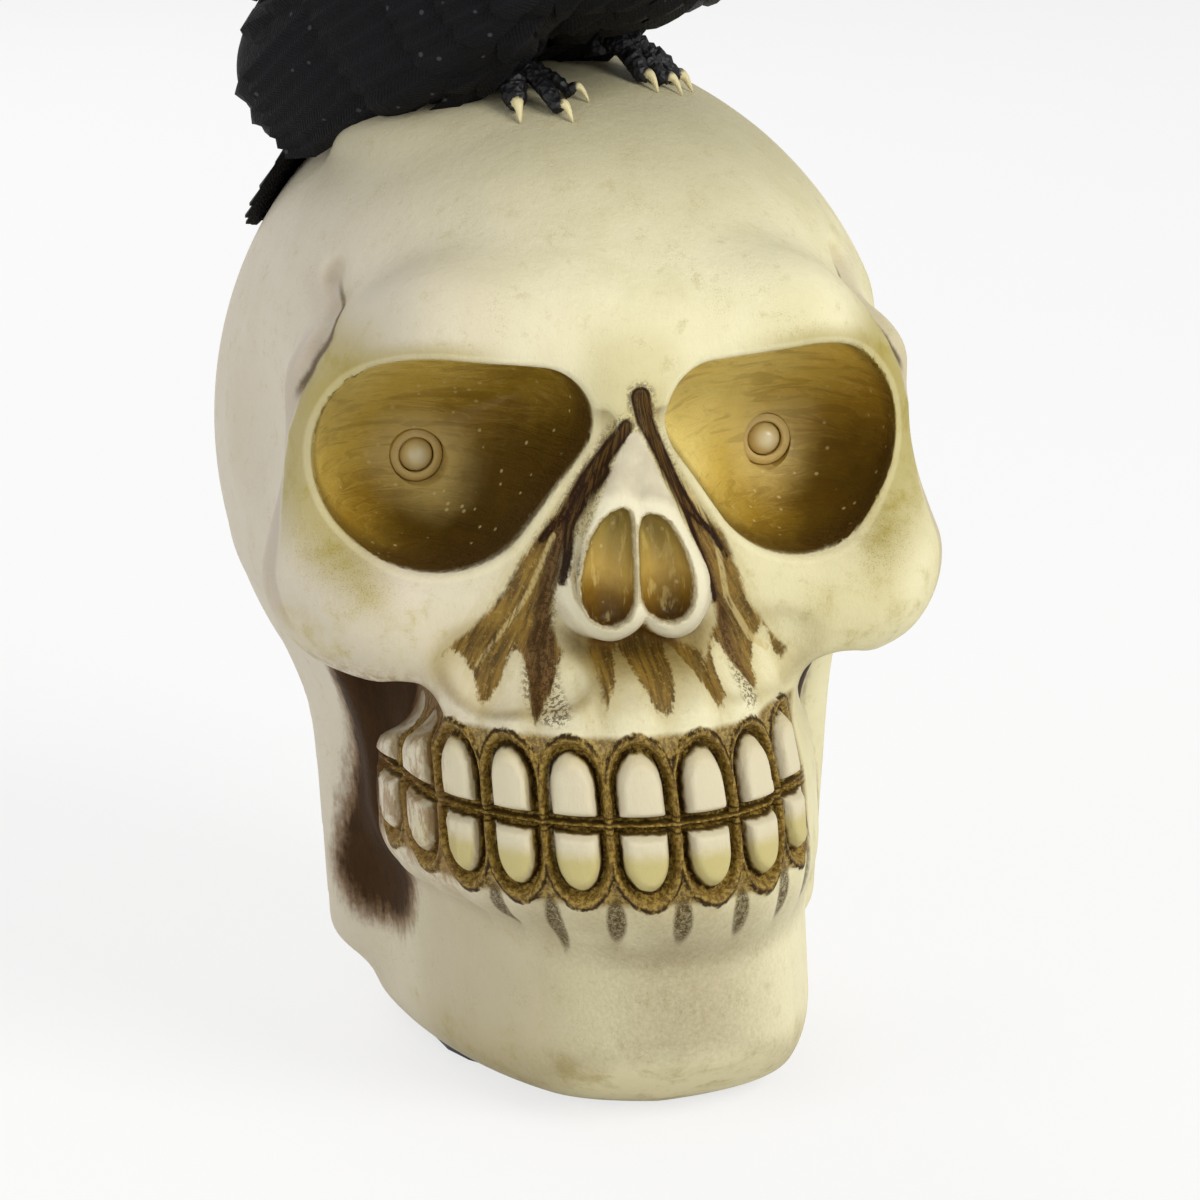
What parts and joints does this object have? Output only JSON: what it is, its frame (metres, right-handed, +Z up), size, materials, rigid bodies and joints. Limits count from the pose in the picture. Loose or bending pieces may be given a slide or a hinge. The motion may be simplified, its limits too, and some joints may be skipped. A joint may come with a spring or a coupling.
{
  "type": "skull garden stake light",
  "caption": "Resin skull with lamps in its eye sockets, a perched crow, a rear solar panel and a base with battery door, switch and stake socket.",
  "frame": {"origin": "on the flat underside of the base plate, between the stake socket and the battery door", "axes": "+Z up, the face looks towards -Y, +X is the skull's own left"},
  "size_m": [0.1, 0.1361, 0.2118],
  "materials": {
    "bone_resin": "cast polyresin with a bone coloured wash, satin",
    "crow_resin": "cast polyresin painted black, satin",
    "black_plastic": "moulded, fine grain",
    "switch_plastic": "moulded",
    "steel": "nickel plated",
    "battery_sleeve": "shrink sleeve",
    "board_green": "solder resist",
    "led_lens": "milky epoxy",
    "lead_sheath": "soft sheath",
    "solar_silicon": "polycrystalline cell under resin",
    "clear_cover": "clear acrylic"
  },
  "bodies": {
    "root": {"skull_shell": "bone_resin", "crow": "crow_resin", "base_plate": "black_plastic", "base_screw_1": "steel", "base_screw_2": "steel", "base_screw_3": "steel", "base_screw_4": "steel", "battery": "battery_sleeve", "battery_spring": "steel", "contact_minus": "steel", "contact_plus": "steel", "circuit_board": "board_green", "board_screw_1": "steel", "board_screw_2": "steel", "switch_body": "black_plastic", "led_right": "led_lens", "led_left": "led_lens", "led_holder_right": "black_plastic", "led_holder_left": "black_plastic", "led_lead_right": "lead_sheath", "led_lead_left": "lead_sheath", "panel_bezel": "black_plastic", "solar_cell": "solar_silicon", "panel_cover": "clear_cover", "panel_lead": "lead_sheath"},
    "battery_door": {"battery_door": "black_plastic"},
    "switch_slider": {"switch_slider": "switch_plastic"}
  },
  "joints": [
    {"name": "battery_door_hinge", "type": "hinge", "parent": "root", "child": "battery_door", "pos_m": [0, 0.0192, 0.0014], "axis": [1, 0, 0], "range_deg": [0, 90]},
    {"name": "switch_slide", "type": "slide", "parent": "root", "child": "switch_slider", "axis": [0, 1, 0], "range_m": [0, 0.003]}
  ]
}
